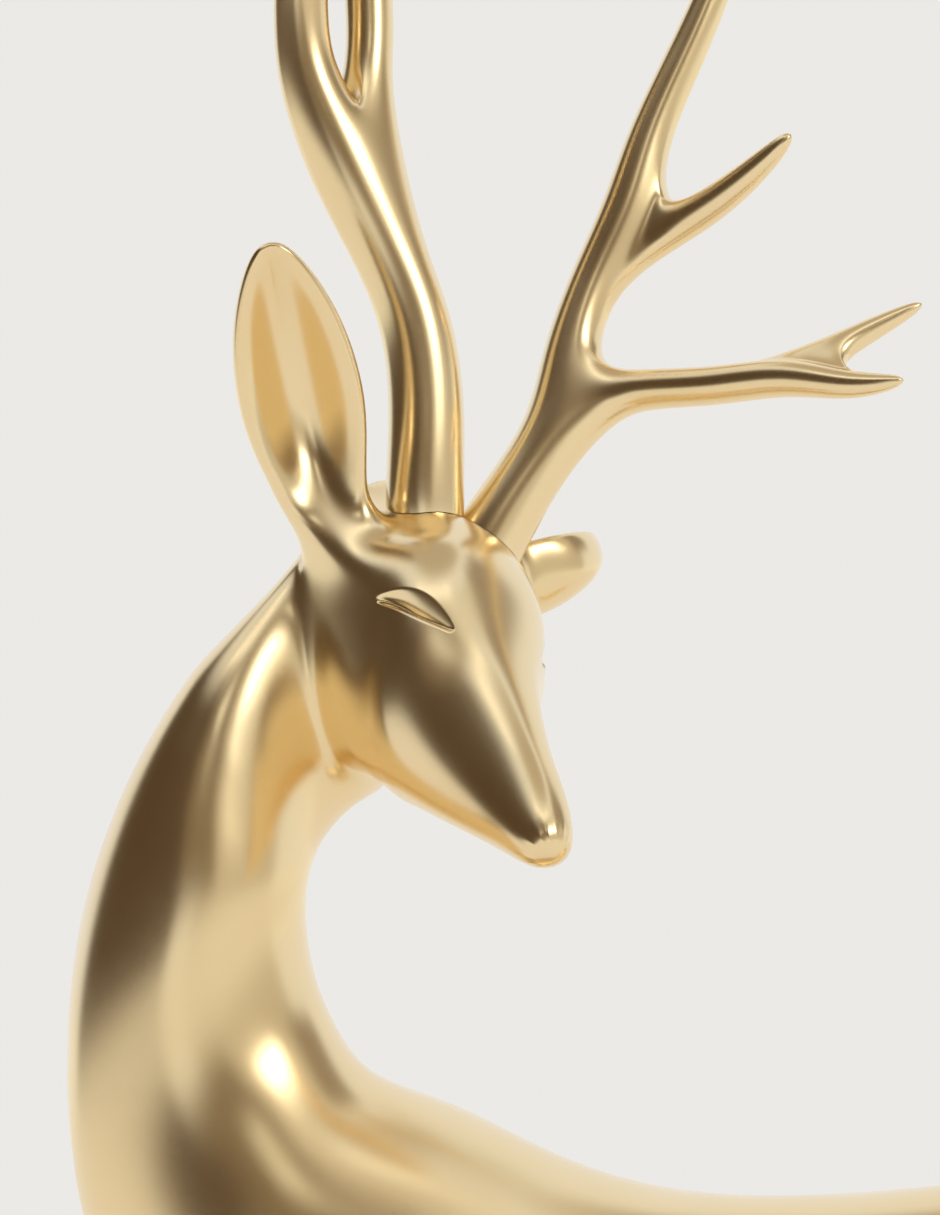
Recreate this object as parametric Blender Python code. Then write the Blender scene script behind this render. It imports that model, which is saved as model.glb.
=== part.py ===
"""A gilded reindeer figurine that looks back over its shoulder, standing on a low oval base.

The animal is one smooth casting: a tube of rings from rump to nose, with the legs, ears and tail
drawn out of openings in its wall. The two antlers are separate castings seated on the crown.
+Z is up, the chest faces -X, and the origin is the middle of the base's underside.
"""

from math import atan2, cos, pi, radians, sin

import bmesh
import bpy
from mathutils import Vector

# Driving sizes, in metres
WITHERS_HEIGHT = 0.248  # sole to withers; every form of the animal is a share of it
BASE_THICKNESS = 0.012
BASE_LEDGE_ENDS = 0.028  # base showing beyond the front hooves
BASE_LEDGE_SIDES = 0.024  # base showing beyond the hooves at the sides
BASE_EDGE_ROUND = 0.0025
SEAT_GAP = 0.0003  # between pieces that touch

# The animal was drawn 248 units high at the withers, so one unit is one millimetre at this size
UNIT = WITHERS_HEIGHT / 248
SOLE_LEVEL = BASE_THICKNESS + SEAT_GAP

BODY_SIDES = 16
ANTLER_SIDES = 8
SMOOTHING = 1
BASE_SIDES = 48
BASE_EDGE_STEPS = 2
EASING_ROUNDS = 8  # how often control points are moved before a line passes through its points

GOLD = (0.80, 0.58, 0.28, 1.0)
GOLD_ROUGHNESS = 0.25
GOLD_METALLIC = 1.0

# The head's turn from looking along +X, in degrees
HEAD_YAW = 62  # towards -Y
HEAD_PITCH = 36  # nose down
HEAD_ROLL = 20  # right side of the animal up
NOSE_TIP = Vector((-49.8, -58.0, 298.0))  # units above the sole

# Rings from rump to neck: back (x, z), belly (x, z), sideways shift, half width, where the
# ring is widest (-1 at the belly, 1 at the back)
TRUNK = (
    ((119.5, 206), (117, 174), 0, 12.5, 0.0),
    ((109, 220.5), (104, 162), 0, 23.0, 0.0),
    ((91, 230.5), (84, 158.5), 0, 29, 0.0),
    ((64, 232.3), (60, 170), 0, 29.3, 0.0),
    ((26, 227.8), (22, 177), 0, 26.8, -0.05),
    ((-18, 225.8), (-28, 167), 0, 29.5, -0.05),
    ((-50, 232.8), (-68, 161), 0, 32.4, -0.05),
    ((-72, 243.3), (-104, 166), 0, 33, -0.05),
    ((-88.6, 249.8), (-130, 184), 0, 31.5, 0.0),
    ((-96.5, 259), (-143.5, 209), 0, 26.8, 0.0),
    ((-100.8, 269), (-149.5, 234), 0, 24.2, 0.0),
    ((-102.8, 281), (-150.3, 260), 0, 24.6, 0.0),
    ((-102, 290.5), (-146.8, 285), 1, 25.4, 0.0),
    ((-99, 298), (-137.6, 309), 3, 25, 0.0),
    ((-95, 303.5), (-122.8, 331), 5, 24.2, 0.0),
    ((-92, 306.3), (-104.6, 349), 6, 22.4, 0.0),
)

# Rings of the head, in its own frame: crown (forward, up), jaw (forward, up), half width,
# where the ring is widest (-1 at the crown, 1 at the jaw), how sharply the brow or the bridge
# of the nose is edged
HEAD = (
    ((-9, 9.5), (34, -33), 20.8, -0.25, 0.5),
    ((-1, 12.5), (37.5, -32), 21, -0.38, 0.8),
    ((9, 16.5), (41, -30.8), 21, -0.45, 1.0),
    ((20, 19.6), (45, -29.2), 19.6, -0.4, 0.5),
    ((30, 18.8), (49.5, -27.3), 19.3, -0.35, 0.8),
    ((39, 15.2), (54.5, -25), 18, -0.25, 1.0),
    ((48.5, 11.3), (61, -22.3), 14, -0.1, 1.0),
    ((60, 8), (69, -19), 10.0, 0.0, 1.0),
    ((72, 5.1), (78, -15.4), 7.5, 0.05, 1.0),
    ((83.5, 2.6), (86, -12.4), 6.5, 0.1, 0.7),
    ((94.3, -1.6), (93.3, -9.4), 4.8, 0.0, 0.2),
)
RIDGE_SQUARING = 0.32  # how far an edged ring leaves its oval for a box
RIDGE_NARROWING = 0.3  # how much of an edged ring's width goes by its crown
NECK_TURN_RINGS = 4  # the neck's last rings turn towards the head's side direction

# Where the limbs leave the wall: the first ring and side of each opening on the near side, and
# how many rings and sides it spans
EAR_RING, EAR_SIDE, EAR_SPAN = 16, 4, 3
EYE_RING, EYE_SIDE = 20, 5
FORE_RING, HIND_RING, LEG_SIDE = 6, 1, 5
LIMB_SIDES = 2


def head_frame():
    """The head's forward, near-side and up directions, and where its own zero lies."""
    yaw, pitch, roll = radians(HEAD_YAW), radians(HEAD_PITCH), radians(HEAD_ROLL)
    forward = Vector((cos(yaw) * cos(pitch), -sin(yaw) * cos(pitch), -sin(pitch)))
    level_side = Vector((-sin(yaw), -cos(yaw), 0))
    level_up = Vector((cos(yaw) * sin(pitch), -sin(yaw) * sin(pitch), cos(pitch)))
    side = level_side * cos(roll) + level_up * sin(roll)
    up = level_up * cos(roll) - level_side * sin(roll)
    return forward, side, up


FORWARD, SIDE, UP = head_frame()
NOSE_REACH = 96  # from the head's own zero to the nose tip


def head_point(forward, side, up):
    """A point of the head's own frame, in units above the sole."""
    return NOSE_TIP + FORWARD * (forward - NOSE_REACH) + SIDE * side + UP * up


def placed(point):
    """A point in units above the sole, as metres above the underside of the base."""
    return Vector(point) * UNIT + Vector((0, 0, SOLE_LEVEL))


def through(points):
    """Control points whose smoothed line passes through the given points."""
    points = [Vector(p) for p in points]
    controls = [p.copy() for p in points]
    for _ in range(EASING_ROUNDS):
        eased = [p.copy() for p in controls]
        for i in range(1, len(points) - 1):
            line = (controls[i - 1] + controls[i] * 4 + controls[i + 1]) / 6
            eased[i] += points[i] - line
        controls = eased
    return controls


def ring_growth(sides):
    """How much larger a ring of control points is than the smooth ring it gives."""
    return 6 / (4 + 2 * cos(2 * pi / sides))


def clear_scene():
    for thing in list(bpy.data.objects):
        bpy.data.objects.remove(thing)


def material(name, colour, roughness, metallic):
    made = bpy.data.materials.new(name)
    made.use_nodes = True
    shader = made.node_tree.nodes["Principled BSDF"]
    shader.inputs["Base Color"].default_value = colour
    shader.inputs["Roughness"].default_value = roughness
    shader.inputs["Metallic"].default_value = metallic
    made.diffuse_color = colour
    return made


def next_ring(mesh, ring):
    """Draws the open ring out by one step and returns the new ring in the same order."""
    edges = [mesh.edges.get((a, b)) for a, b in zip(ring, ring[1:] + ring[:1])]
    drawn = bmesh.ops.extrude_edge_only(mesh, edges=edges)["geom"]
    fresh = {v for v in drawn if isinstance(v, bmesh.types.BMVert)}
    return [
        next(e.other_vert(v) for e in v.link_edges if e.other_vert(v) in fresh)
        for v in ring
    ]


def draw_tube(mesh, rings):
    """A tube through the rings, each a list of points, closed at both ends. Returns its vertices."""
    first = bmesh.ops.create_circle(mesh, segments=len(rings[0]), radius=1)["verts"]
    grid = [sorted(first, key=lambda v: v.index)]
    for vertex, point in zip(grid[0], rings[0]):
        vertex.co = placed(point)
    for ring in rings[1:]:
        grid.append(next_ring(mesh, grid[-1]))
        for vertex, point in zip(grid[-1], ring):
            vertex.co = placed(point)
    mesh.faces.new(grid[0])
    mesh.faces.new(grid[-1])
    return grid


def open_patch(mesh, grid, ring, side, rings=LIMB_SIDES, sides=LIMB_SIDES):
    """Opens a patch of a tube's wall and returns its border in order."""
    around = len(grid[0])
    low, high = side % around, (side + sides) % around
    border = [grid[ring + i][low] for i in range(rings)]
    border += [grid[ring + rings][(side + k) % around] for k in range(sides)]
    border += [grid[ring + rings - i][high] for i in range(rings)]
    border += [grid[ring][(side + sides - k) % around] for k in range(sides)]
    patch = {
        grid[ring + i][(side + k) % around]
        for i in range(rings + 1)
        for k in range(sides + 1)
    }
    faces = {f for v in patch for f in v.link_faces if set(f.verts) <= patch}
    bmesh.ops.delete(mesh, geom=list(faces), context="FACES")
    return border


def grow(mesh, border, centres, across, along, shape=None):
    """Draws a limb out of an opening, through rings at the given centres.

    across and along hold each ring's two half axes. shape, if given, moves a ring's point:
    it takes the ring's number and the angle from the across axis, and returns the shares of
    the two half axes. The limb ends in a cap.
    """
    count = len(border)
    middle = sum((v.co for v in border), Vector()) / count
    a_axis, b_axis = Vector(across[0]).normalized(), Vector(along[0]).normalized()
    angles = [atan2((v.co - middle) @ b_axis, (v.co - middle) @ a_axis) for v in border]
    turn = 1 if sum(sin(b - a) for a, b in zip(angles, angles[1:] + angles[:1])) > 0 else -1
    leads = [a - turn * 2 * pi * j / count for j, a in enumerate(angles)]
    lead = atan2(sum(sin(a) for a in leads), sum(cos(a) for a in leads))
    size = ring_growth(count)
    rings = [border]
    for number, (centre, a_axis, b_axis) in enumerate(zip(through(centres), across, along)):
        rings.append(next_ring(mesh, rings[-1]))
        for j, vertex in enumerate(rings[-1]):
            angle = lead + turn * 2 * pi * j / count
            share = shape(number, angle) if shape else (cos(angle), sin(angle))
            offset = Vector(a_axis) * share[0] + Vector(b_axis) * share[1]
            vertex.co = placed(Vector(centre) + offset * size)
    mesh.faces.new(rings[-1])
    return rings


def power(value, exponent):
    return abs(value) ** exponent * (1 if value >= 0 else -1)


def section(inner, outer, side, widest, edged=0.0):
    """One ring of the trunk or head, from its inner point (back or jaw) round the near side.

    edged squares the crown's side of the ring and draws it in, so that it keeps a ridge.
    """
    centre = (inner + outer) / 2
    axis = (inner - outer) / 2
    size = ring_growth(BODY_SIDES)
    points = []
    for k in range(BODY_SIDES):
        angle = 2 * pi * k / BODY_SIDES
        on_crown = cos(angle) < 0
        square = 1 - RIDGE_SQUARING * edged * on_crown
        reach = power(cos(angle), square)
        narrow = 1 - RIDGE_NARROWING * edged * on_crown * abs(reach)
        spread = power(sin(angle), square) * narrow
        reach = widest + reach * (1 + widest if on_crown else 1 - widest)
        points.append(centre + (axis * reach + side * spread) * size)
    return points


def body_rings():
    inner, outer, sides, rest = [], [], [], []
    for back, belly, shift, half_width, widest in TRUNK:
        inner.append(Vector((back[0], shift, back[1])))
        outer.append(Vector((belly[0], shift, belly[1])))
        sides.append(Vector((0, -half_width, 0)))
        rest.append((widest,))
    for crown, jaw, half_width, widest, edged in HEAD:
        inner.append(head_point(jaw[0], 0, jaw[1]))
        outer.append(head_point(crown[0], 0, crown[1]))
        sides.append(SIDE * half_width)
        rest.append((widest, edged))
    for step in range(1, NECK_TURN_RINGS):
        i = len(TRUNK) - NECK_TURN_RINGS + step
        share = step / (NECK_TURN_RINGS + 1)
        width = sides[i].length
        sides[i] = sides[i].normalized().lerp(SIDE, share).normalized() * width
    return [
        section(a, b, s, *r)
        for a, b, s, r in zip(through(inner), through(outer), through(sides), rest)
    ]


# The near ear stands up and faces forward, and the far ear lies back behind the crown.
# Each has a root, a tip, the way its cup faces, how far it bows back on the way, how deep it is
# for its width, and its half width at the root
EARS = {
    "near": ((-97.4, -8, 356.5), (-109.6, -26, 415), (0.10, -0.97, -0.2), 4, 1.2, 8.4),
    "far": ((-65, 19.5, 349), (-46.3, 44, 355.5), (-0.5, -0.4, 0.77), 2, 1.6, 5.6),
}
EAR_STATIONS = (0.0, 0.19, 0.41, 0.67, 0.88, 1.0)
EAR_WIDTHS = (9.0, 13.0, 11.9, 6.9, 2.3)  # past the root
EAR_DEPTHS = (6.0, 5.6, 4.9, 3.9, 2.7, 1.5)
EAR_CUP = (0.0, 0.8, 1.45, 1.45, 0.9, 0.0)
CUP_DEPTH = 1.15  # how far the middle of a fully cupped ring sinks, as a share of its depth
CUP_RISE = 3.0  # how fast the cup rises from its middle to the rims


def ear_shape(number, angle):
    """The ear's section: rounded behind, hollowed in front between two thick rims."""
    spread, depth = cos(angle), sin(angle)
    if depth > 0:
        depth *= 1 - EAR_CUP[number] * (CUP_DEPTH - CUP_RISE * spread ** 2)
    return spread, depth


def ears(mesh, grid):
    for name, side in (("near", EAR_SIDE), ("far", BODY_SIDES - EAR_SIDE - EAR_SPAN)):
        root, tip, facing, bow, deep, root_width = EARS[name]
        root = Vector(root)
        length = Vector(tip) - root
        across = length.cross(Vector(facing)).normalized()
        forward = across.cross(length).normalized()
        border = open_patch(mesh, grid, EAR_RING, side, rings=EAR_SPAN, sides=EAR_SPAN)
        centres = [root + length * t - forward * bow * sin(pi * t) for t in EAR_STATIONS]
        widths = [across * w for w in (root_width, *EAR_WIDTHS)]
        depths = [forward * d * deep for d in EAR_DEPTHS]
        grow(mesh, border, centres, widths, depths, ear_shape)


# Rings of a closed eye, from the brow in: half length, half height, push out at the brow,
# and push out at the cheek
EYE_RINGS = ((8.2, 4.6, -0.2, -1.1), (6.6, 3.0, -1.7, -0.9), (4.6, 1.6, -0.5, -0.4))
EYE_DOWN = 0.55  # share of the way from its opening's upper side to the middle one
EYE_FORWARD = 0.08  # share of the way from its middle ring to the next


def eyes(mesh, grid):
    for turn in (1, -1):
        near, middle, far = (turn * (EYE_SIDE + step) % BODY_SIDES for step in (-1, 0, 1))
        before, here, after = (grid[EYE_RING + step] for step in (-1, 0, 1))
        centre = here[near].co.lerp(here[middle].co, EYE_DOWN).lerp(after[middle].co, EYE_FORWARD)
        along = ((after[middle].co + after[far].co) / 2 - before[near].co).normalized()
        out = along.cross(here[far].co - here[near].co).normalized() * turn
        brow = out.cross(along).normalized() * turn
        border = open_patch(mesh, grid, EYE_RING - 1, min(near, far))
        centre = (centre - Vector((0, 0, SOLE_LEVEL))) / UNIT
        rings = grow(
            mesh, border,
            [centre] * len(EYE_RINGS),
            [along * length for length, _, _, _ in EYE_RINGS],
            [brow * height for _, height, _, _ in EYE_RINGS],
        )
        for ring, (_, height, high, low) in zip(rings[1:], EYE_RINGS):
            for vertex in ring:
                lift = (vertex.co - placed(centre)) @ brow / (height * UNIT)
                share = min(1, max(0, lift / 2 + 0.5))
                vertex.co += out * (low + (high - low) * share) * UNIT


# The tail: its line, with half width and half thickness
TAIL = (
    ((119.5, 0, 208.5), 9.0, 6.0),
    ((126.5, 0, 205), 8.6, 4.8),
    ((130.5, 0, 196), 8.6, 4.2),
    ((130.5, 0, 184.5), 6.6, 3.6),
    ((128.5, 0, 176), 3.0, 2.0),
)


def tail(mesh, grid):
    border = open_patch(mesh, grid, 0, BODY_SIDES - 1)
    centres = [Vector(c) for c, _, _ in TAIL]
    frames = beam_frames(centres)
    across = [a * w for (a, _), (_, w, _) in zip(frames, TAIL)]
    along = [b * t for (_, b), (_, _, t) in zip(frames, TAIL)]
    grow(mesh, border, centres, across, along)


# Legs: centre (x, z) and half sizes fore-aft and sideways, from the body down
FORELEG = (
    ((-90, 150), 14.0, 10.5),
    ((-90, 127), 8.8, 8.0),
    ((-89.2, 100), 6.8, 6.4),
    ((-89.2, 76), 5.2, 5.0),
    ((-90.5, 32), 4.8, 4.6),
    ((-92.5, 14), 5.8, 5.3),
    ((-97, 0), 8.6, 7.4),
)
HINDLEG = (
    ((88, 156), 24, 12.5),
    ((87, 136), 16.5, 10.8),
    ((92, 114), 10.8, 8.4),
    ((102, 92), 7.4, 6.6),
    ((101.5, 70), 5.7, 5.5),
    ((96, 32), 5.0, 4.8),
    ((92.5, 14), 6.0, 5.5),
    ((89, 0), 8.9, 7.6),
)
FORE_SPREAD = 19.5  # from the middle to a hoof
HIND_SPREAD = 20.5


def legs(mesh, grid):
    pairs = ((FORELEG, FORE_SPREAD, FORE_RING), (HINDLEG, HIND_SPREAD, HIND_RING))
    openings = ((-1, LEG_SIDE), (1, BODY_SIDES - LEG_SIDE - LIMB_SIDES))
    for stations, spread, ring in pairs:
        for turn, side in openings:
            border = open_patch(mesh, grid, ring, side)
            centres = [(x, turn * spread, z) for (x, z), _, _ in stations]
            across = [Vector((a, 0, 0)) for _, a, _ in stations]
            along = [Vector((0, b, 0)) for _, _, b in stations]
            rings = grow(mesh, border, centres, across, along)
            flatten_sole(mesh, rings[-1])


def flatten_sole(mesh, ring):
    creases = mesh.edges.layers.float.get("crease_edge") or mesh.edges.layers.float.new("crease_edge")
    for a, b in zip(ring, ring[1:] + ring[:1]):
        mesh.edges.get((a, b))[creases] = 1.0


# Antlers: each beam's line with its radius, then its tines. A tine has the ring where it leaves,
# how many sides wide its root is, its own line, and the points that part from it in turn
RIGHT_ANTLER = (
    (
        ((-78.8, 0.5, 353), 8.2), ((-79, 1, 368), 7.8), ((-78.8, 3.3, 383.3), 7.7),
        ((-80.9, 5.5, 399.7), 7.3), ((-86.4, 6.5, 414.2), 7.0), ((-92.7, 7, 427.2), 7.6),
        ((-98.2, 7.5, 439.2), 7.4), ((-102.8, 8, 451.8), 5.8), ((-104, 8.5, 465.5), 5.5),
        ((-102.5, 8.5, 482.4), 5.0), ((-96.9, 7.5, 500.5), 4.0), ((-87.7, 6, 517.5), 1.9),
    ),
    (
        (4, 4, (((-90.8, 13.9, 448.3), 4.8), ((-90.3, 16.5, 458.6), 4.8), ((-90.9, 19.5, 473), 5.0),
                ((-92.7, 24, 490.4), 4.2), ((-96.8, 30, 508), 3.0), ((-100.5, 34, 519), 1.5)), ()),
        (8, 2, (((-105.6, 3.5, 493.8), 3.4), ((-111.3, -1, 505), 2.7), ((-115.5, -5, 514), 1.5)), ()),
    ),
)
LEFT_ANTLER = (
    (
        ((-71, 3, 347), 7.9), ((-64.8, 4.5, 359), 7.5), ((-57.3, 6.5, 371.5), 6.3),
        ((-52, 9, 383), 6.4), ((-49.4, 12, 395.5), 5.3), ((-44.6, 15.5, 409.5), 4.9),
        ((-38.3, 18.5, 423.5), 5.6), ((-34, 21, 437), 4.5), ((-28.7, 23.5, 450), 4.1),
        ((-21.8, 26.5, 465.5), 3.7), ((-15.5, 30, 483), 3.0), ((-10.8, 33, 499.5), 1.4),
    ),
    (
        (2, 3, (((-41, 6.5, 386.2), 4.5), ((-32, 2, 387), 4.0), ((-20, -4.5, 387.6), 3.9),
                ((-7, -11.5, 388.6), 3.9), ((5, -17.5, 387.2), 2.9), ((15.8, -22, 388), 1.2)),
         ((3, 2, (((1.5, -8, 394), 3.0), ((10.5, -6.5, 398.8), 2.4), ((20.6, -6, 404), 1.1)), ()),)),
        (5, 2, (((-29.8, 16, 419.6), 4.1), ((-20.2, 11.5, 425.3), 3.6), ((-11.5, 7, 432.3), 2.7),
                ((-5.3, 4, 438.5), 1.3)), ()),
    ),
)


def beam_frames(points):
    """Two axes square to the line at each of its points, carried along without twisting."""
    frames = []
    across = Vector((0, 1, 0))
    for i in range(len(points)):
        tangent = (points[min(i + 1, len(points) - 1)] - points[max(i - 1, 0)]).normalized()
        across = (across - tangent * (across @ tangent)).normalized()
        frames.append((across, tangent.cross(across)))
    return frames


def beam_rings(line):
    points = through([p for p, _ in line])
    size = ring_growth(ANTLER_SIDES)
    rings = []
    for centre, (_, radius), (across, along) in zip(points, line, beam_frames(points)):
        rings.append([
            centre + (across * cos(a) + along * sin(a)) * radius * size
            for a in (2 * pi * k / ANTLER_SIDES for k in range(ANTLER_SIDES))
        ])
    return rings


def facing_side(grid, ring, target, sides):
    """The first side of the patch, so many sides wide, that faces the target from a ring."""
    around = len(grid[ring])
    middle = sum((v.co for v in grid[ring + 1]), Vector()) / around

    def aim(side):
        patch = [grid[ring + 1][(side + k) % around].co for k in range(sides + 1)]
        out = sum(patch, Vector()) / len(patch) - middle
        return out.normalized() @ (placed(target) - middle).normalized()

    return max(range(around), key=aim)


def grow_tines(mesh, grid, tines):
    for ring, sides, line, points in tines:
        side = facing_side(grid, ring, line[0][0], sides)
        border = open_patch(mesh, grid, ring, side, sides=sides)
        centres = [Vector(p) for p, _ in line]
        frames = beam_frames(centres)
        across = [a * r for (a, _), (_, r) in zip(frames, line)]
        along = [b * r for (_, b), (_, r) in zip(frames, line)]
        grow_tines(mesh, grow(mesh, border, centres, across, along), points)


def antler(name, beam, tines, gold):
    mesh = bmesh.new()
    grow_tines(mesh, draw_tube(mesh, beam_rings(beam)), tines)
    return smoothed(name, mesh, gold)


def stood(name, mesh, gold):
    """The named object of a finished mesh."""
    data = bpy.data.meshes.new(name)
    mesh.to_mesh(data)
    mesh.free()
    data.materials.append(gold)
    data.shade_smooth()
    made = bpy.data.objects.new(name, data)
    bpy.context.scene.collection.objects.link(made)
    return made


def smoothed(name, mesh, gold):
    """The object of a finished cage, rounded by subdivision."""
    bmesh.ops.recalc_face_normals(mesh, faces=mesh.faces)
    made = stood(name, mesh, gold)
    smooth = made.modifiers.new("smooth", "SUBSURF")
    smooth.levels = smooth.render_levels = SMOOTHING
    return made


def seat(piece, body):
    """Cuts the piece's foot to the body's own surface, a gap away from it."""
    cutter = body.copy()
    cutter.name = "seat_cutter"
    bpy.context.scene.collection.objects.link(cutter)
    swell = cutter.modifiers.new("gap", "DISPLACE")
    swell.strength = SEAT_GAP
    swell.mid_level = 0
    cutter.hide_render = True
    cutter.display_type = "WIRE"
    cut = piece.modifiers.new("seat", "BOOLEAN")
    cut.object = cutter
    cut.operation = "DIFFERENCE"
    cut.solver = "EXACT"


def base(gold):
    """An oval plate with a softened upper edge, sized by the hooves that stand on it."""
    toe = -FORELEG[-1][0][0] + FORELEG[-1][1]
    flank = HIND_SPREAD + HINDLEG[-1][2]
    half_length = toe * UNIT + BASE_LEDGE_ENDS
    half_width = flank * UNIT + BASE_LEDGE_SIDES
    mesh = bmesh.new()
    bmesh.ops.create_circle(mesh, cap_ends=True, segments=BASE_SIDES, radius=1)
    bmesh.ops.scale(mesh, vec=(half_length, half_width, 1), verts=mesh.verts)
    raised = bmesh.ops.extrude_face_region(mesh, geom=mesh.faces[:])["geom"]
    top = [v for v in raised if isinstance(v, bmesh.types.BMVert)]
    bmesh.ops.translate(mesh, vec=(0, 0, BASE_THICKNESS), verts=top)
    bmesh.ops.recalc_face_normals(mesh, faces=mesh.faces)
    rim = [e for e in mesh.edges if e.verts[0] in top and e.verts[1] in top]
    bmesh.ops.bevel(
        mesh, geom=rim, offset=BASE_EDGE_ROUND, affect="EDGES", segments=BASE_EDGE_STEPS,
        profile=0.5, material=-1,
    )
    return stood("base", mesh, gold)


def main():
    clear_scene()
    gold = material("gold", GOLD, GOLD_ROUGHNESS, GOLD_METALLIC)
    mesh = bmesh.new()
    grid = draw_tube(mesh, body_rings())
    legs(mesh, grid)
    ears(mesh, grid)
    eyes(mesh, grid)
    tail(mesh, grid)
    body = smoothed("body", mesh, gold)
    for name, (beam, tines) in (("right_antler", RIGHT_ANTLER), ("left_antler", LEFT_ANTLER)):
        seat(antler(name, beam, tines, gold), body)
    base(gold)


main()
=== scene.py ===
# A gilded reindeer figurine that looks back over its shoulder, standing on a low oval base
from math import atan2, cos, exp, pi, radians, sin

import bmesh
import bpy
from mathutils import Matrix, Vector
from mathutils.bvhtree import BVHTree


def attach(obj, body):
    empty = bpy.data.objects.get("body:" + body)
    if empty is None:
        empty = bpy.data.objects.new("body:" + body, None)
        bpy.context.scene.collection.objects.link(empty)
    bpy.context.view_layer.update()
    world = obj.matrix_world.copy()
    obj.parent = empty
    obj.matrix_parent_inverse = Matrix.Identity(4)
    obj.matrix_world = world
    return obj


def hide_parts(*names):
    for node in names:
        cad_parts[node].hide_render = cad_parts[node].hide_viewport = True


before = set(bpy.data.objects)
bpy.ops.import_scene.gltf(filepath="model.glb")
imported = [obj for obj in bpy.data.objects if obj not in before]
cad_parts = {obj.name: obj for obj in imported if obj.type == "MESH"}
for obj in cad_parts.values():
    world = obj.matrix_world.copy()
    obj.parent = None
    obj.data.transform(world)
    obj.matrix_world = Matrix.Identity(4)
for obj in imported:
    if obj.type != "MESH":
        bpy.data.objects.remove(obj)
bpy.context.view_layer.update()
print("frame loaded with", len(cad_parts), "nodes")

# The camera looks along +Y, level, at the height of the head
photoView = {
    "place": (-0.070, -1.3, 0.3555),
    "frameHeight": 0.243,  # what the frame takes in at the figure's distance
    "sensor": 36.0,
    "nearest": 0.01,
    "farthest": 60,
}

camera = bpy.data.cameras.new("camera")
camera.sensor_width = photoView["sensor"]
camera.lens = photoView["sensor"] * -photoView["place"][1] / photoView["frameHeight"]
camera.clip_start = photoView["nearest"]
camera.clip_end = photoView["farthest"]
viewer = bpy.data.objects.new("camera", camera)
viewer.location = photoView["place"]
viewer.rotation_euler = (radians(90), 0, 0)
bpy.context.scene.collection.objects.link(viewer)
bpy.context.scene.camera = viewer
bpy.context.scene.view_settings.view_transform = "Standard"

# The animal's own measures are millimetres above its soles
figure = {
    "unit": 0.001,
    "soleLevel": 0.0123,  # above the floor
    "sides": 16,  # of a body ring
    "antlerSides": 8,
    "smoothing": 3,
    "seatGap": 0.0001,  # between an antler's foot and the crown
    "antlerEdge": 50,  # degrees, the seam line stays sharp
    "easingRounds": 8,
}


def placed(point):
    return Vector(point) * figure["unit"] + Vector((0, 0, figure["soleLevel"]))


def measured(place):
    return (place - Vector((0, 0, figure["soleLevel"]))) / figure["unit"]


def through(points):
    # control points whose smoothed line passes through the given points
    points = [Vector(p) for p in points]
    controls = [p.copy() for p in points]
    for _ in range(figure["easingRounds"]):
        eased = [p.copy() for p in controls]
        for i in range(1, len(points) - 1):
            line = (controls[i - 1] + controls[i] * 4 + controls[i + 1]) / 6
            eased[i] += points[i] - line
        controls = eased
    return controls


def ringGrowth(sides):
    # how much larger a ring of control points is than the smooth ring it gives
    return 6 / (4 + 2 * cos(2 * pi / sides))


def nextRing(mesh, ring):
    # draws a closed ring on by one step and returns the new ring in the same order
    edges = [mesh.edges.get((a, b)) for a, b in zip(ring, ring[1:] + ring[:1])]
    drawn = bmesh.ops.extrude_edge_only(mesh, edges=edges)["geom"]
    fresh = {v for v in drawn if isinstance(v, bmesh.types.BMVert)}
    return [
        next(e.other_vert(v) for e in v.link_edges if e.other_vert(v) in fresh)
        for v in ring
    ]


def drawTube(mesh, rings):
    # a tube through the given rings, closed at both ends
    first = bmesh.ops.create_circle(mesh, segments=len(rings[0]), radius=1)["verts"]
    grid = [sorted(first, key=lambda v: v.index)]
    for vertex, point in zip(grid[0], rings[0]):
        vertex.co = placed(point)
    for ring in rings[1:]:
        grid.append(nextRing(mesh, grid[-1]))
        for vertex, point in zip(grid[-1], ring):
            vertex.co = placed(point)
    mesh.faces.new(grid[0])
    mesh.faces.new(grid[-1])
    return grid


def openPatch(mesh, grid, ring, side, rings=2, sides=2):
    # opens a patch of a tube's wall and returns its border in order
    around = len(grid[0])
    low, high = side % around, (side + sides) % around
    border = [grid[ring + i][low] for i in range(rings)]
    border += [grid[ring + rings][(side + k) % around] for k in range(sides)]
    border += [grid[ring + rings - i][high] for i in range(rings)]
    border += [grid[ring][(side + sides - k) % around] for k in range(sides)]
    patch = {
        grid[ring + i][(side + k) % around]
        for i in range(rings + 1)
        for k in range(sides + 1)
    }
    faces = {f for v in patch for f in v.link_faces if set(f.verts) <= patch}
    bmesh.ops.delete(mesh, geom=list(faces), context="FACES")
    return border


def growLimb(mesh, border, centres, across, along, shape=None):
    # draws a limb out of an opening, through rings at the given centres and half axes
    count = len(border)
    middle = sum((v.co for v in border), Vector()) / count
    aAxis, bAxis = Vector(across[0]).normalized(), Vector(along[0]).normalized()
    angles = [atan2((v.co - middle) @ bAxis, (v.co - middle) @ aAxis) for v in border]
    turn = 1 if sum(sin(b - a) for a, b in zip(angles, angles[1:] + angles[:1])) > 0 else -1
    leads = [a - turn * 2 * pi * j / count for j, a in enumerate(angles)]
    lead = atan2(sum(sin(a) for a in leads), sum(cos(a) for a in leads))
    size = ringGrowth(count)
    rings = [border]
    for number, (centre, aAxis, bAxis) in enumerate(zip(through(centres), across, along)):
        rings.append(nextRing(mesh, rings[-1]))
        for j, vertex in enumerate(rings[-1]):
            angle = lead + turn * 2 * pi * j / count
            share = shape(number, angle) if shape else (cos(angle), sin(angle))
            offset = Vector(aAxis) * share[0] + Vector(bAxis) * share[1]
            vertex.co = placed(Vector(centre) + offset * size)
    mesh.faces.new(rings[-1])
    return rings


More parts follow.
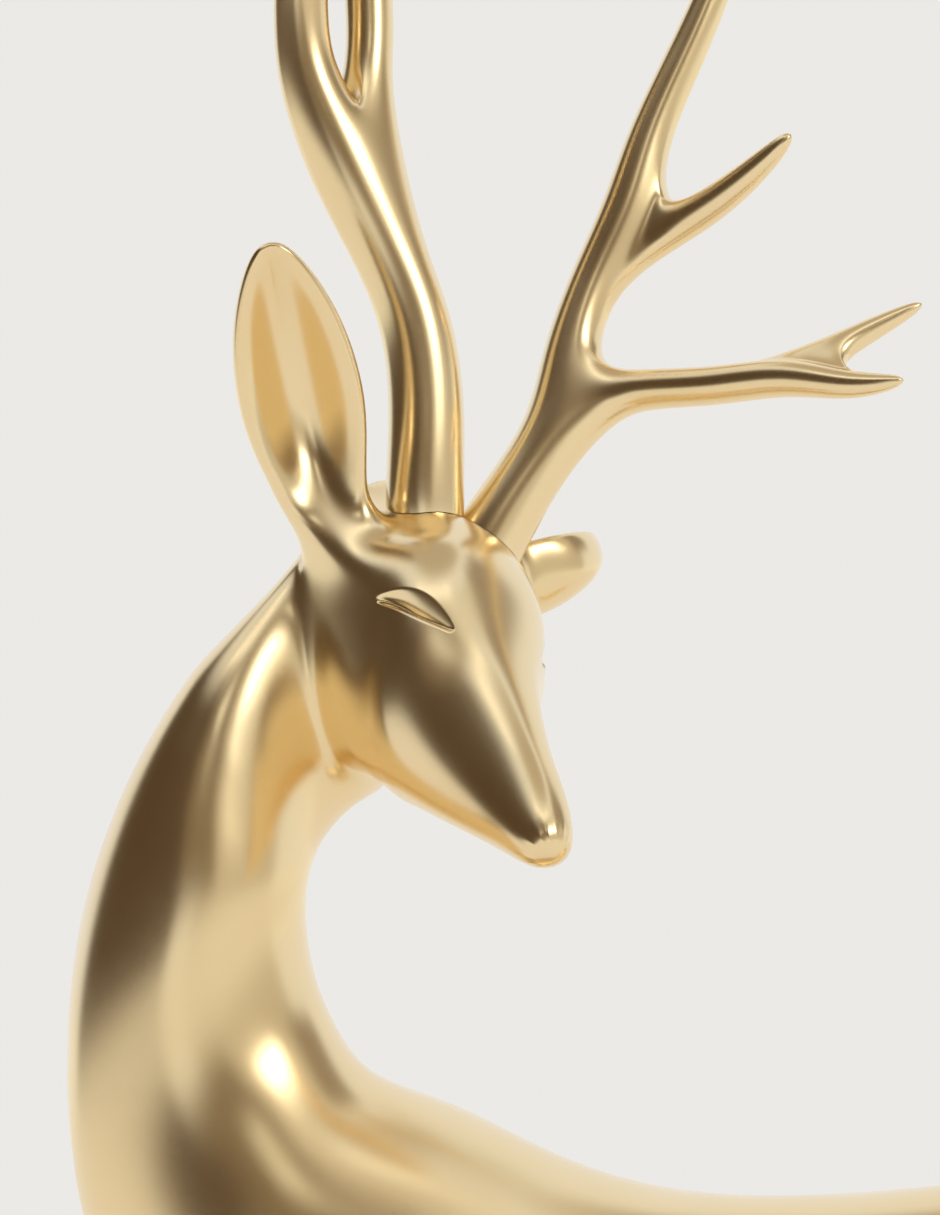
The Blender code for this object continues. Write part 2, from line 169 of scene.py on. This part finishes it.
def lineFrames(points):
    # two axes square to a line at each of its points, carried along without twisting
    frames = []
    across = Vector((0, 1, 0))
    for i in range(len(points)):
        tangent = (points[min(i + 1, len(points) - 1)] - points[max(i - 1, 0)]).normalized()
        across = (across - tangent * (across @ tangent)).normalized()
        frames.append((across, tangent.cross(across)))
    return frames


def withModifiers(piece):
    # the piece's mesh with its modifiers made real
    bpy.context.view_layer.update()
    shown = piece.evaluated_get(bpy.context.evaluated_depsgraph_get())
    made = bpy.data.meshes.new_from_object(shown)
    rough = piece.data
    piece.modifiers.clear()
    piece.data = made
    bpy.data.meshes.remove(rough)
    made.name = piece.name


def linked(name, data):
    piece = bpy.data.objects.new(name, data)
    bpy.context.scene.collection.objects.link(piece)
    return piece


def pieceFrom(name, mesh, levels=0):
    bmesh.ops.recalc_face_normals(mesh, faces=mesh.faces)
    data = bpy.data.meshes.new(name)
    mesh.to_mesh(data)
    mesh.free()
    data.shade_smooth()
    piece = linked(name, data)
    if levels:
        smooth = piece.modifiers.new("smooth", "SUBSURF")
        smooth.levels = smooth.render_levels = levels
    return piece


# The head's turn from looking along +X, in degrees, and the place of its nose
head = {
    "yaw": 62,
    "pitch": 36,
    "roll": 20,
    "noseTip": (-49.8, -58.0, 298.0),
    "noseReach": 96,
    "ridgeSquaring": 0.32,
    "ridgeNarrowing": 0.3,
    # crown (forward, up), jaw (forward, up), half width, widest, how sharply the crown is edged
    "rings": (
        ((-9, 9.5), (34, -33), 20.8, -0.25, 0.5),
        ((-1, 12.5), (37.5, -32), 21, -0.38, 0.8),
        ((9, 16.5), (41, -30.8), 21, -0.45, 1.0),
        ((20, 19.6), (45, -29.2), 19.6, -0.4, 0.5),
        ((30, 18.8), (49.5, -27.3), 19.3, -0.35, 0.8),
        ((39, 15.2), (54.5, -25), 18, -0.25, 1.0),
        ((48.5, 11.3), (61, -22.3), 14, -0.1, 1.0),
        ((60, 8), (69, -19), 10.0, 0.0, 1.0),
        ((72, 5.1), (78, -15.4), 7.5, 0.05, 1.0),
        ((83.5, 2.6), (86, -12.4), 6.5, 0.1, 0.7),
        ((94.3, -1.6), (93.3, -9.4), 4.8, 0.0, 0.2),
    ),
}


def headFrame():
    yaw, pitch, roll = (radians(head[turn]) for turn in ("yaw", "pitch", "roll"))
    forward = Vector((cos(yaw) * cos(pitch), -sin(yaw) * cos(pitch), -sin(pitch)))
    levelSide = Vector((-sin(yaw), -cos(yaw), 0))
    levelUp = Vector((cos(yaw) * sin(pitch), -sin(yaw) * sin(pitch), cos(pitch)))
    side = levelSide * cos(roll) + levelUp * sin(roll)
    up = levelUp * cos(roll) - levelSide * sin(roll)
    return forward, side, up


forward, side, up = headFrame()


def headPoint(ahead, above):
    return Vector(head["noseTip"]) + forward * (ahead - head["noseReach"]) + up * above


def inHead(place):
    # how far a place lies ahead, to the near side and above in the head's own frame
    offset = measured(place) - Vector(head["noseTip"])
    return offset @ forward + head["noseReach"], offset @ side, offset @ up


# Rings from rump to neck: back (x, z), belly (x, z), sideways shift, half width, widest
trunk = {
    "neckTurnRings": 4,
    "rings": (
        ((119.5, 206), (117, 174), 0, 12.5, 0.0),
        ((109, 220.5), (104, 162), 0, 23.0, 0.0),
        ((91, 230.5), (84, 158.5), 0, 29, 0.0),
        ((64, 232.3), (60, 170), 0, 29.3, 0.0),
        ((26, 227.8), (22, 177), 0, 26.8, -0.05),
        ((-18, 225.8), (-28, 167), 0, 29.5, -0.05),
        ((-50, 232.8), (-68, 161), 0, 32.4, -0.05),
        ((-72, 243.3), (-104, 166), 0, 33, -0.05),
        ((-88.6, 249.8), (-130, 184), 0, 31.5, 0.0),
        ((-96.5, 259), (-143.5, 209), 0, 26.8, 0.0),
        ((-100.8, 269), (-149.5, 234), 0, 24.2, 0.0),
        ((-102.8, 281), (-150.3, 260), 0, 24.6, 0.0),
        ((-102, 290.5), (-146.8, 285), 1, 25.4, 0.0),
        ((-99, 298), (-137.6, 309), 3, 25, 0.0),
        ((-95, 303.5), (-122.8, 331), 5, 24.2, 0.0),
        ((-92, 306.3), (-104.6, 349), 6, 22.4, 0.0),
    ),
}


def power(value, exponent):
    return abs(value) ** exponent * (1 if value >= 0 else -1)


def section(inner, outer, width, widest, edged=0.0):
    # one ring, from its inner point round the near side; edged keeps a ridge on the crown
    centre = (inner + outer) / 2
    axis = (inner - outer) / 2
    size = ringGrowth(figure["sides"])
    points = []
    for k in range(figure["sides"]):
        angle = 2 * pi * k / figure["sides"]
        onCrown = cos(angle) < 0
        square = 1 - head["ridgeSquaring"] * edged * onCrown
        reach = power(cos(angle), square)
        narrow = 1 - head["ridgeNarrowing"] * edged * onCrown * abs(reach)
        spread = power(sin(angle), square) * narrow
        reach = widest + reach * (1 + widest if onCrown else 1 - widest)
        points.append(centre + (axis * reach + width * spread) * size)
    return points


def bodyRings():
    inner, outer, widths, rest = [], [], [], []
    for back, belly, shift, halfWidth, widest in trunk["rings"]:
        inner.append(Vector((back[0], shift, back[1])))
        outer.append(Vector((belly[0], shift, belly[1])))
        widths.append(Vector((0, -halfWidth, 0)))
        rest.append((widest,))
    for crown, jaw, halfWidth, widest, edged in head["rings"]:
        inner.append(headPoint(*jaw))
        outer.append(headPoint(*crown))
        widths.append(side * halfWidth)
        rest.append((widest, edged))
    turning = trunk["neckTurnRings"]
    for step in range(1, turning):
        i = len(trunk["rings"]) - turning + step
        share = step / (turning + 1)
        widths[i] = widths[i].normalized().lerp(side, share).normalized() * widths[i].length
    return [
        section(a, b, w, *r)
        for a, b, w, r in zip(through(inner), through(outer), through(widths), rest)
    ]


# Each ear: root, tip, the way its cup faces, bow, depth for its width, half width at the root.
# The cup says how far each station is hollowed, and its rise how much less so at the rims
ear = {
    "firstRing": 16,
    "firstSide": 4,
    "span": 3,
    "near": ((-97.4, -8, 356.5), (-109.6, -26, 415), (0.10, -0.97, -0.2), 4, 1.2, 8.4),
    "far": ((-65, 19.5, 349), (-46.3, 44, 355.5), (-0.5, -0.4, 0.77), 2, 1.6, 5.6),
    "stations": (0.0, 0.19, 0.41, 0.67, 0.88, 1.0),
    "widths": (9.0, 13.0, 11.9, 6.9, 2.3),
    "depths": (6.0, 5.6, 4.9, 3.9, 2.7, 1.5),
    "cup": (0.0, 0.9, 1.55, 1.5, 0.9, 0.0),
    "cupDepth": 1.25,
    "cupRise": 3.0,
}


def earShape(number, angle):
    spread, depth = cos(angle), sin(angle)
    if depth > 0:
        depth *= 1 - ear["cup"][number] * (ear["cupDepth"] - ear["cupRise"] * spread ** 2)
    return spread, depth


def growEars(mesh, grid):
    farSide = figure["sides"] - ear["firstSide"] - ear["span"]
    for name, firstSide in (("near", ear["firstSide"]), ("far", farSide)):
        root, tip, facing, bow, deep, rootWidth = ear[name]
        root = Vector(root)
        length = Vector(tip) - root
        across = length.cross(Vector(facing)).normalized()
        ahead = across.cross(length).normalized()
        border = openPatch(mesh, grid, ear["firstRing"], firstSide, ear["span"], ear["span"])
        centres = [root + length * t - ahead * bow * sin(pi * t) for t in ear["stations"]]
        widths = [across * w for w in (rootWidth, *ear["widths"])]
        depths = [ahead * d * deep for d in ear["depths"]]
        growLimb(mesh, border, centres, widths, depths, earShape)


# A closed eye: where its wall is made finer, and the lid's line and fold in the head's own frame
eye = {
    "middle": (36.8, 6.5),  # ahead and above
    "reach": 12,
    "cuts": 3,
    "finest": 5,  # smoothing of the wall that the fine points are laid on
    "finerBeside": (5, 26),  # how far to either side the wall is made finer
    "foldedBeside": (6, 24),  # and where it is pressed
    "corner": (28.7, 2.6),  # ahead and above, where the lid's line starts
    "end": (43.8, 9.3),
    "bow": 0.6,  # of the lid's line
    "lid": 4.0,  # height of the fold above the line
    "depth": 2.9,
    "lip": 0.55,  # width of the step under the line
    "lidFullness": 0.8,
    "depthFullness": 0.6,
    "hollowing": 1.2,
    "thinnest": 0.01,
}


def refineLids(data, wall):
    # makes the wall finer round both eyes, with its new points laid on the smooth wall
    mesh = bmesh.new()
    mesh.from_mesh(data)
    nearest, farthest = eye["finerBeside"]

    def atEye(vertex):
        ahead, beside, above = inHead(vertex.co)
        off = Vector((ahead - eye["middle"][0], above - eye["middle"][1]))
        return nearest < abs(beside) < farthest and off.length < eye["reach"]

    edges = [e for e in mesh.edges if atEye(e.verts[0]) and atEye(e.verts[1])]
    made = bmesh.ops.subdivide_edges(mesh, edges=edges, cuts=eye["cuts"], use_grid_fill=True)
    for vertex in {v for v in made["geom_inner"] if isinstance(v, bmesh.types.BMVert)}:
        vertex.co = wall.find_nearest(vertex.co)[0]
    mesh.to_mesh(data)
    mesh.free()


def foldLids(data):
    # presses the closed lids into both sides of the finished head
    nearest, farthest = eye["foldedBeside"]
    cornerAhead, cornerAbove = eye["corner"]
    lineAhead = eye["end"][0] - cornerAhead
    lineAbove = eye["end"][1] - cornerAbove
    length = (lineAhead ** 2 + lineAbove ** 2) ** 0.5
    lineAhead, lineAbove = lineAhead / length, lineAbove / length
    normals = [n.vector.copy() for n in data.vertex_normals]
    for vertex, normal in zip(data.vertices, normals):
        ahead, beside, above = inHead(vertex.co)
        if abs(beside) < nearest or abs(beside) > farthest:
            continue
        a = (ahead - cornerAhead) * lineAhead + (above - cornerAbove) * lineAbove
        b = (above - cornerAbove) * lineAhead - (ahead - cornerAhead) * lineAbove
        if not 0 < a < length:
            continue
        arch = sin(pi * a / length)
        line = eye["bow"] * arch
        top = line + eye["lid"] * arch ** eye["lidFullness"]
        depth = eye["depth"] * arch ** eye["depthFullness"]
        if b > top:
            continue
        if b >= line:
            share = (top - b) / max(top - line, eye["thinnest"])
            press = depth * share ** eye["hollowing"]
        else:
            press = depth * exp(-((line - b) / eye["lip"]) ** 2)
        vertex.co -= normal * press * figure["unit"]


# The tail's line, with half width and half thickness
tail = {
    "stations": (
        ((119.5, 0, 208.5), 9.0, 6.0),
        ((126.5, 0, 205), 8.6, 4.8),
        ((130.5, 0, 196), 8.6, 4.2),
        ((130.5, 0, 184.5), 6.6, 3.6),
        ((128.5, 0, 176), 3.0, 2.0),
    ),
}


def growTail(mesh, grid):
    border = openPatch(mesh, grid, 0, figure["sides"] - 1)
    centres = [Vector(c) for c, _, _ in tail["stations"]]
    frames = lineFrames(centres)
    across = [a * w for (a, _), (_, w, _) in zip(frames, tail["stations"])]
    along = [b * t for (_, b), (_, _, t) in zip(frames, tail["stations"])]
    growLimb(mesh, border, centres, across, along)


# Legs: centre (x, z) and half sizes fore-aft and sideways, from the body down
leg = {
    "side": 5,
    "span": 2,
    "fore": {
        "ring": 6,
        "spread": 19.5,
        "stations": (
            ((-90, 150), 14.0, 10.5),
            ((-90, 127), 8.8, 8.0),
            ((-89.2, 100), 6.8, 6.4),
            ((-89.2, 76), 5.2, 5.0),
            ((-90.5, 32), 4.8, 4.6),
            ((-92.5, 14), 5.8, 5.3),
            ((-97, 0), 8.6, 7.4),
        ),
    },
    "hind": {
        "ring": 1,
        "spread": 20.5,
        "stations": (
            ((88, 156), 24, 12.5),
            ((87, 136), 16.5, 10.8),
            ((92, 114), 10.8, 8.4),
            ((102, 92), 7.4, 6.6),
            ((101.5, 70), 5.7, 5.5),
            ((96, 32), 5.0, 4.8),
            ((92.5, 14), 6.0, 5.5),
            ((89, 0), 8.9, 7.6),
        ),
    },
}


def growLegs(mesh, grid):
    creases = mesh.edges.layers.float.new("crease_edge")
    farSide = figure["sides"] - leg["side"] - leg["span"]
    for pair in (leg["fore"], leg["hind"]):
        for turn, firstSide in ((-1, leg["side"]), (1, farSide)):
            border = openPatch(mesh, grid, pair["ring"], firstSide)
            centres = [(x, turn * pair["spread"], z) for (x, z), _, _ in pair["stations"]]
            across = [Vector((a, 0, 0)) for _, a, _ in pair["stations"]]
            along = [Vector((0, b, 0)) for _, _, b in pair["stations"]]
            sole = growLimb(mesh, border, centres, across, along)[-1]
            for a, b in zip(sole, sole[1:] + sole[:1]):
                mesh.edges.get((a, b))[creases] = 1.0


# The hollow behind the jaw, where the wall is eased so that head and neck flow together
fold = {
    "line": (
        (-103.5, -3.7, 352), (-103, -6.4, 344.7), (-102.8, -8.1, 336.7), (-102.6, -8.1, 328.8),
        (-101.4, -7.5, 322.8), (-99.5, -5.7, 316.8), (-96.7, -3.5, 312.4),
    ),
    "reach": 22,
    "rounds": 170,
    "narrowing": 0.7,  # how much of the reach is lost by the last round
    "pull": 0.5,
}


def easeFold(data):
    # most rounds beside the line, fewer and fewer away from it
    mesh = bmesh.new()
    mesh.from_mesh(data)
    line = [Vector(p) for p in fold["line"]]
    away = {v: min((measured(v.co) - p).length for p in line) for v in mesh.verts}
    for turn in range(fold["rounds"]):
        reach = fold["reach"] * (1 - fold["narrowing"] * turn / fold["rounds"])
        bmesh.ops.smooth_vert(
            mesh, verts=[v for v, off in away.items() if off < reach], factor=fold["pull"],
            use_axis_x=True, use_axis_y=True, use_axis_z=True,
        )
    mesh.to_mesh(data)
    mesh.free()


def makeBody():
    # returns the body, and a copy without its fine relief that seats the antlers
    mesh = bmesh.new()
    grid = drawTube(mesh, bodyRings())
    growLegs(mesh, grid)
    growEars(mesh, grid)
    growTail(mesh, grid)
    finest = pieceFrom("finestWall", mesh.copy(), eye["finest"])
    withModifiers(finest)
    fine = bmesh.new()
    fine.from_mesh(finest.data)
    wall = BVHTree.FromBMesh(fine)
    fine.free()
    bpy.data.objects.remove(finest)
    body = pieceFrom("gildedBody", mesh, figure["smoothing"])
    withModifiers(body)
    cutter = linked("seatCutter", body.data.copy())
    easeFold(body.data)
    refineLids(body.data, wall)
    foldLids(body.data)
    body.data.shade_smooth()
    print("body made with", len(body.data.polygons), "faces")
    return body, cutter


# Antlers: each beam's line with its radius, then its tines. A tine has the ring where it
# leaves, how many sides wide its root is, its own line, and the points that part from it
antler = {
    "gildedRightAntler": (
        (
            ((-78.8, 0.5, 353), 8.2), ((-79, 1, 368), 7.8), ((-78.8, 3.3, 383.3), 7.7),
            ((-80.9, 5.5, 399.7), 7.3), ((-86.4, 6.5, 414.2), 7.0), ((-92.7, 7, 427.2), 7.6),
            ((-98.2, 7.5, 439.2), 7.4), ((-102.8, 8, 451.8), 5.8), ((-104, 8.5, 465.5), 5.5),
            ((-102.5, 8.5, 482.4), 5.0), ((-96.9, 7.5, 500.5), 4.0), ((-87.7, 6, 517.5), 1.9),
        ),
        (
            (4, 4, (((-91.2, 13.5, 448.3), 4.9), ((-90.3, 16.5, 458.6), 4.8),
                    ((-90.9, 19.5, 473), 5.0), ((-92.7, 24, 490.4), 4.2),
                    ((-96.8, 30, 508), 3.0), ((-100.5, 34, 519), 1.5)), ()),
            (8, 2, (((-105.6, 3.5, 493.8), 3.4), ((-111.3, -1, 505), 2.7),
                    ((-115.5, -5, 514), 1.5)), ()),
        ),
    ),
    "gildedLeftAntler": (
        (
            ((-71, 3, 347), 7.9), ((-64.8, 4.5, 359), 7.5), ((-57.3, 6.5, 371.5), 6.3),
            ((-52, 9, 383), 6.4), ((-49.4, 12, 395.5), 5.3), ((-44.6, 15.5, 409.5), 4.9),
            ((-38.3, 18.5, 423.5), 5.6), ((-34, 21, 437), 4.5), ((-28.7, 23.5, 450), 4.1),
            ((-21.8, 26.5, 465.5), 3.7), ((-15.5, 30, 483), 3.0), ((-10.8, 33, 499.5), 1.4),
        ),
        (
            (2, 3, (((-41, 6.5, 386.2), 4.5), ((-32, 2, 387), 4.0), ((-20, -4.5, 387.6), 3.9),
                    ((-7, -11.5, 388.6), 3.9), ((5, -17.5, 387.2), 2.9), ((15.8, -22, 388), 1.2)),
             ((3, 2, (((1.5, -8, 394), 3.0), ((10.5, -6.5, 398.8), 2.4),
                      ((20.6, -6, 404), 1.1)), ()),)),
            (5, 2, (((-29.8, 16, 419.6), 4.1), ((-20.2, 11.5, 425.3), 3.6),
                    ((-11.5, 7, 432.3), 2.7), ((-5.3, 4, 438.5), 1.3)), ()),
        ),
    ),
}


def beamRings(line):
    points = through([p for p, _ in line])
    size = ringGrowth(figure["antlerSides"])
    turns = [2 * pi * k / figure["antlerSides"] for k in range(figure["antlerSides"])]
    return [
        [centre + (across * cos(a) + along * sin(a)) * radius * size for a in turns]
        for centre, (_, radius), (across, along) in zip(points, line, lineFrames(points))
    ]


def facingSide(grid, ring, target, sides):
    # the first side of the patch, so many sides wide, that faces the target from a ring
    around = len(grid[ring])
    middle = sum((v.co for v in grid[ring + 1]), Vector()) / around

    def aim(first):
        patch = [grid[ring + 1][(first + k) % around].co for k in range(sides + 1)]
        out = sum(patch, Vector()) / len(patch) - middle
        return out.normalized() @ (placed(target) - middle).normalized()

    return max(range(around), key=aim)


def growTines(mesh, grid, tines):
    # each tine, and the points that part from it
    for ring, sides, line, points in tines:
        first = facingSide(grid, ring, line[0][0], sides)
        border = openPatch(mesh, grid, ring, first, sides=sides)
        centres = [Vector(p) for p, _ in line]
        frames = lineFrames(centres)
        across = [a * r for (a, _), (_, r) in zip(frames, line)]
        along = [b * r for (_, b), (_, r) in zip(frames, line)]
        growTines(mesh, growLimb(mesh, border, centres, across, along), points)


def makeAntler(name, cutter):
    beam, tines = antler[name]
    mesh = bmesh.new()
    growTines(mesh, drawTube(mesh, beamRings(beam)), tines)
    piece = pieceFrom(name, mesh, figure["smoothing"])
    seat = piece.modifiers.new("seat", "BOOLEAN")
    seat.object = cutter
    seat.operation = "DIFFERENCE"
    seat.solver = "EXACT"
    withModifiers(piece)
    piece.data.shade_smooth()
    piece.data.set_sharp_from_angle(angle=radians(figure["antlerEdge"]))
    print(name, "made with", len(piece.data.polygons), "faces")
    return piece


body, seatCutter = makeBody()
gap = seatCutter.modifiers.new("gap", "DISPLACE")
gap.strength = figure["seatGap"]
gap.mid_level = 0
withModifiers(seatCutter)
antlers = [makeAntler(name, seatCutter) for name in antler]
bpy.data.objects.remove(seatCutter)

# The base, in metres
base = {
    "halfLength": 0.1336,
    "halfWidth": 0.0521,
    "thickness": 0.012,
    "edgeRound": 0.0025,
    "segments": 192,
    "edgeSteps": 5,
    "edgeFullness": 0.5,
    "sharpEdge": 35,  # degrees
}


def makeBase():
    mesh = bmesh.new()
    bmesh.ops.create_circle(mesh, cap_ends=True, segments=base["segments"], radius=1)
    bmesh.ops.scale(mesh, vec=(base["halfLength"], base["halfWidth"], 1), verts=mesh.verts)
    raised = bmesh.ops.extrude_face_region(mesh, geom=mesh.faces[:])["geom"]
    top = [v for v in raised if isinstance(v, bmesh.types.BMVert)]
    bmesh.ops.translate(mesh, vec=(0, 0, base["thickness"]), verts=top)
    bmesh.ops.recalc_face_normals(mesh, faces=mesh.faces)
    rim = [e for e in mesh.edges if e.verts[0] in top and e.verts[1] in top]
    bmesh.ops.bevel(
        mesh, geom=rim, offset=base["edgeRound"], affect="EDGES",
        segments=base["edgeSteps"], profile=base["edgeFullness"], material=-1,
    )
    plate = pieceFrom("gildedBase", mesh)
    plate.data.set_sharp_from_angle(angle=radians(base["sharpEdge"]))
    print("base made")
    return plate


plate = makeBase()


# Shader maths written as expressions
class Socket:
    def __init__(self, nodes, link):
        self.nodes = nodes
        self.link = link

    def maths(self, operation, other, swapped=False):
        first, second = (other, self) if swapped else (self, other)
        settings = {"operation": operation}
        return self.nodes.make("ShaderNodeMath", settings, {0: first, 1: second})

    def __add__(self, other):
        return self.maths("ADD", other)

    def __sub__(self, other):
        return self.maths("SUBTRACT", other)

    def __mul__(self, other):
        return self.maths("MULTIPLY", other)

    def __rsub__(self, other):
        return self.maths("SUBTRACT", other, swapped=True)


# A node tree's maker: add gives the node itself, make one of its outputs
class Nodes:
    def __init__(self, tree):
        self.tree = tree

    def add(self, kind, settings=None, values=None):
        node = self.tree.nodes.new(kind)
        for name, value in (settings or {}).items():
            setattr(node, name, value)
        for name, value in (values or {}).items():
            if isinstance(value, Socket):
                self.tree.links.new(value.link, node.inputs[name])
            else:
                node.inputs[name].default_value = value
        return node

    def make(self, kind, settings=None, values=None, output=0):
        return Socket(self, self.add(kind, settings, values).outputs[output])

    def smoothStep(self, value, low, high):
        values = {"Value": value, "From Min": low, "From Max": high}
        return self.make("ShaderNodeMapRange", {"interpolation_type": "SMOOTHSTEP"}, values)


# Satin champagne gold: its tone drifts slightly, and its polish is a little uneven
gold = {
    "pale": (0.895, 0.730, 0.445, 1.0),
    "deep": (0.870, 0.680, 0.380, 1.0),
    "roughness": 0.24,
    "roughnessPlay": 0.05,
    "toneScale": 14.0,  # patches of tone, per metre
    "toneSpan": (0.3, 0.7),  # of the noise, from pale to deep
    "polishScale": 55.0,  # slow waves that hand polishing leaves
    "polishDepth": 0.00002,
    "grainScale": 1400.0,
    "detail": 2.0,
    "polishShare": 0.7,  # of the play in roughness
    "grainShare": 0.5,
}


def goldMaterial(name, roughness):
    made = bpy.data.materials.new(name)
    made.use_nodes = True
    tree = made.node_tree
    tree.nodes.clear()
    nodes = Nodes(tree)
    place = nodes.make("ShaderNodeTexCoord", output="Object")
    noise = {"Vector": place, "Detail": gold["detail"]}
    tone = nodes.make("ShaderNodeTexNoise", None, {**noise, "Scale": gold["toneScale"]})
    polish = nodes.make("ShaderNodeTexNoise", None, {**noise, "Scale": gold["polishScale"]})
    grain = nodes.make("ShaderNodeTexNoise", None, {**noise, "Scale": gold["grainScale"]})
    mixed = nodes.make(
        "ShaderNodeMix", {"data_type": "RGBA"},
        {0: nodes.smoothStep(tone, *gold["toneSpan"]), 6: gold["pale"], 7: gold["deep"]},
        output=2,
    )
    play = (polish - 0.5) * gold["polishShare"] + (grain - 0.5) * gold["grainShare"]
    bump = nodes.make(
        "ShaderNodeBump", None,
        {"Strength": 1.0, "Distance": gold["polishDepth"], "Height": polish},
    )
    shader = nodes.make(
        "ShaderNodeBsdfPrincipled", None,
        {
            "Base Color": mixed,
            "Metallic": 1.0,
            "Roughness": play * (2 * gold["roughnessPlay"]) + roughness,
            "Normal": bump,
        },
    )
    nodes.add("ShaderNodeOutputMaterial", None, {"Surface": shader})
    return made


satinGold = goldMaterial("satinGold", gold["roughness"])
pieces = (
    (body, "body"),
    (antlers[0], "right_antler"),
    (antlers[1], "left_antler"),
    (plate, "base"),
)
for piece, node in pieces:
    piece.data.materials.clear()
    piece.data.materials.append(satinGold)
    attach(piece, "root")
    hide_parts(node)
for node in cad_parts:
    carried = bpy.data.objects.get(node)
    if carried and carried.type == "MESH":
        for place in carried.material_slots:
            place.material = satinGold
print("materials set")

# The studio: a pale floor, and round it soft boxes and shaded walls
studio = {
    "floorRadius": 2.2,
    "floorSegments": 128,
    "floorColour": (0.80, 0.785, 0.765, 1.0),
    "floorRoughness": 0.9,
    "backdrop": (0.835, 0.820, 0.790, 1.0),
    "room": (0.92, 0.95, 1.02, 1.0),
    "floorGlow": 0.42,
}

# Zones by azimuth (0 is behind the camera, 90 to +X) and elevation, in degrees: middle, half
# size, softness, colour
zones = (
    ("lower half", (0, -64), (400, 62), 8, (0.98, 0.98, 0.95)),
    ("ceiling", (0, 84), (400, 18), 10, (0.52, 0.46, 0.38)),
    ("right front", (48, 25), (46, 28), 12, (0.62, 0.58, 0.52)),
    ("front", (-8, 26), (30, 21), 12, (0.20, 0.15, 0.10)),
    ("shade", (-74, 22), (54, 27), 12, (0.090, 0.060, 0.036)),
    ("right shade", (98, 38), (18, 18), 12, (0.32, 0.27, 0.22)),
    ("overhead box", (-5, 57), (42, 2.5), 4, (1.9, 1.85, 1.75)),
    ("small box", (2, 34), (7, 5), 6, (1.3, 1.3, 1.25)),
    ("key box", (47, 30), (13, 7), 8, (5.0, 5.0, 4.9)),
)


def makeFloor():
    mesh = bmesh.new()
    bmesh.ops.create_circle(
        mesh, cap_ends=True, segments=studio["floorSegments"], radius=studio["floorRadius"],
    )
    floor = pieceFrom("floor", mesh)
    painted = bpy.data.materials.new("paleFloor")
    painted.use_nodes = True
    shader = painted.node_tree.nodes["Principled BSDF"]
    shader.inputs["Base Color"].default_value = studio["floorColour"]
    shader.inputs["Roughness"].default_value = studio["floorRoughness"]
    shader.inputs["Emission Color"].default_value = studio["floorColour"]
    shader.inputs["Emission Strength"].default_value = studio["floorGlow"]
    floor.data.materials.append(painted)


def makeStudio():
    world = bpy.data.worlds.new("studio")
    world.use_nodes = True
    bpy.context.scene.world = world
    tree = world.node_tree
    tree.nodes.clear()
    nodes = Nodes(tree)
    way = nodes.make("ShaderNodeTexCoord", output="Generated")
    split = tree.nodes.new("ShaderNodeSeparateXYZ")
    tree.links.new(way.link, split.inputs[0])
    x, y, z = (Socket(nodes, out) for out in split.outputs)
    degree = 180 / pi
    azimuth = x.maths("ARCTAN2", 0 - y) * degree
    elevation = nodes.make("ShaderNodeMath", {"operation": "ARCSINE"}, {0: z}) * degree
    light = studio["room"]
    for _, middle, half, soft, colour in zones:
        masks = []
        for value, centre, reach in zip((azimuth, elevation), middle, half):
            off = nodes.make("ShaderNodeMath", {"operation": "ABSOLUTE"}, {0: value - centre})
            masks.append(1 - nodes.smoothStep(off, reach - soft / 2, reach + soft / 2))
        light = nodes.make(
            "ShaderNodeMix", {"data_type": "RGBA"},
            {0: masks[0] * masks[1], 6: light, 7: (*colour, 1.0)}, output=2,
        )
    seen = nodes.make("ShaderNodeLightPath", output="Is Camera Ray")
    colour = nodes.make(
        "ShaderNodeMix", {"data_type": "RGBA"},
        {0: seen, 6: light, 7: studio["backdrop"]}, output=2,
    )
    shown = nodes.make("ShaderNodeBackground", None, {"Color": colour, "Strength": 1.0})
    nodes.add("ShaderNodeOutputWorld", None, {"Surface": shown})


makeFloor()
makeStudio()
print("studio set")
